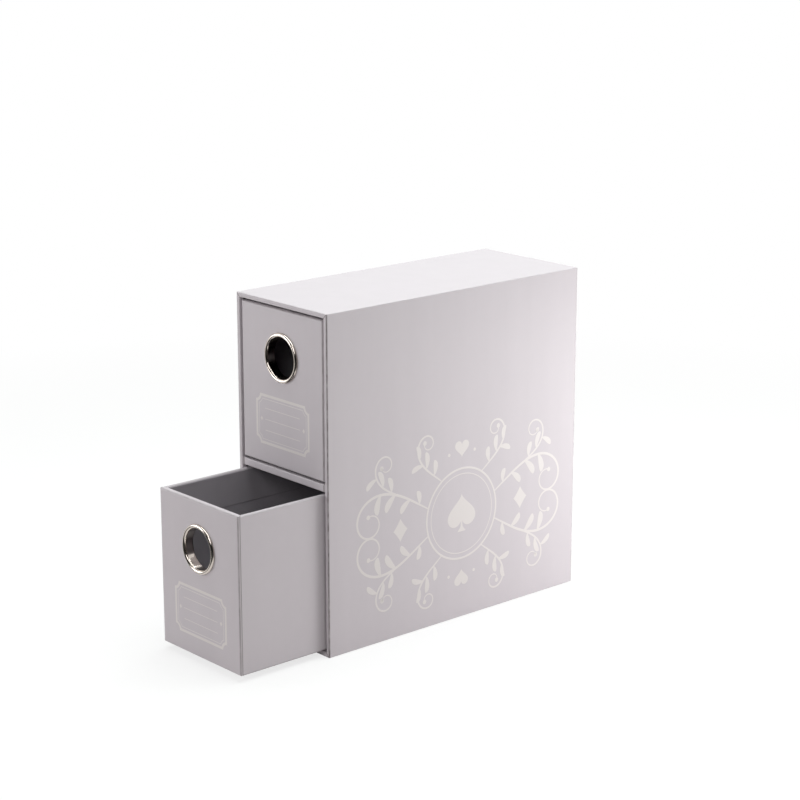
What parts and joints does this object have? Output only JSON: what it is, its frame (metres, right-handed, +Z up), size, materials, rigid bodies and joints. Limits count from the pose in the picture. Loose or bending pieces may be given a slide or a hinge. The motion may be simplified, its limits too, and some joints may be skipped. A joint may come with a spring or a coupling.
{
  "type": "playing card box with drawers",
  "caption": "Tall paper-covered board box with stacked pull-out drawers, each with a round metal finger ring, for keeping sleeved playing cards upright in rows.",
  "frame": {"origin": "centre of the casing's underside, on the surface that it stands on", "axes": "+X to the right of someone facing the drawers, +Y to the back of the casing, +Z up; the drawers open towards -Y"},
  "size_m": [0.087, 0.2782, 0.216],
  "materials": {
    "covering_paper": "satin, pale grey, fine grain",
    "base_paper": "satin, pale grey",
    "greyboard": "raw, matte",
    "lining_card": "matte charcoal",
    "dark_lining": "matte charcoal",
    "ring_metal": "polished nickel plate",
    "washer_metal": "plain nickel plate"
  },
  "bodies": {
    "casing": {"casing_bottom_board": "greyboard", "casing_top_board": "greyboard", "casing_left_board": "greyboard", "casing_right_board": "greyboard", "casing_back_board": "greyboard", "shelf_lower_board": "greyboard", "shelf_upper_board": "greyboard", "shelf_wrap": "covering_paper", "casing_wrap": "covering_paper", "casing_base_sheet": "base_paper", "casing_back_sheet": "base_paper", "lower_bay_floor_card": "lining_card", "lower_bay_roof_card": "lining_card", "lower_bay_left_card": "lining_card", "lower_bay_right_card": "lining_card", "lower_bay_back_card": "lining_card", "upper_bay_floor_card": "lining_card", "upper_bay_roof_card": "lining_card", "upper_bay_left_card": "lining_card", "upper_bay_right_card": "lining_card", "upper_bay_back_card": "lining_card"},
    "lower_drawer": {"lower_drawer_floor_board": "greyboard", "lower_drawer_left_board": "greyboard", "lower_drawer_right_board": "greyboard", "lower_drawer_back_board": "greyboard", "lower_drawer_front_board": "greyboard", "lower_drawer_face_board": "greyboard", "lower_drawer_tray_wrap": "covering_paper", "lower_drawer_face_wrap": "covering_paper", "lower_drawer_liner": "dark_lining", "lower_drawer_finger_ring": "ring_metal", "lower_drawer_ring_washer": "washer_metal"},
    "upper_drawer": {"upper_drawer_floor_board": "greyboard", "upper_drawer_left_board": "greyboard", "upper_drawer_right_board": "greyboard", "upper_drawer_back_board": "greyboard", "upper_drawer_front_board": "greyboard", "upper_drawer_face_board": "greyboard", "upper_drawer_tray_wrap": "covering_paper", "upper_drawer_face_wrap": "covering_paper", "upper_drawer_liner": "dark_lining", "upper_drawer_finger_ring": "ring_metal", "upper_drawer_ring_washer": "washer_metal"}
  },
  "joints": [
    {"name": "lower_drawer_slide", "type": "slide", "parent": "casing", "child": "lower_drawer", "axis": [0, -1, 0], "range_m": [-0.065, 0.125]},
    {"name": "upper_drawer_slide", "type": "slide", "parent": "casing", "child": "upper_drawer", "axis": [0, -1, 0], "range_m": [0, 0.19]}
  ]
}
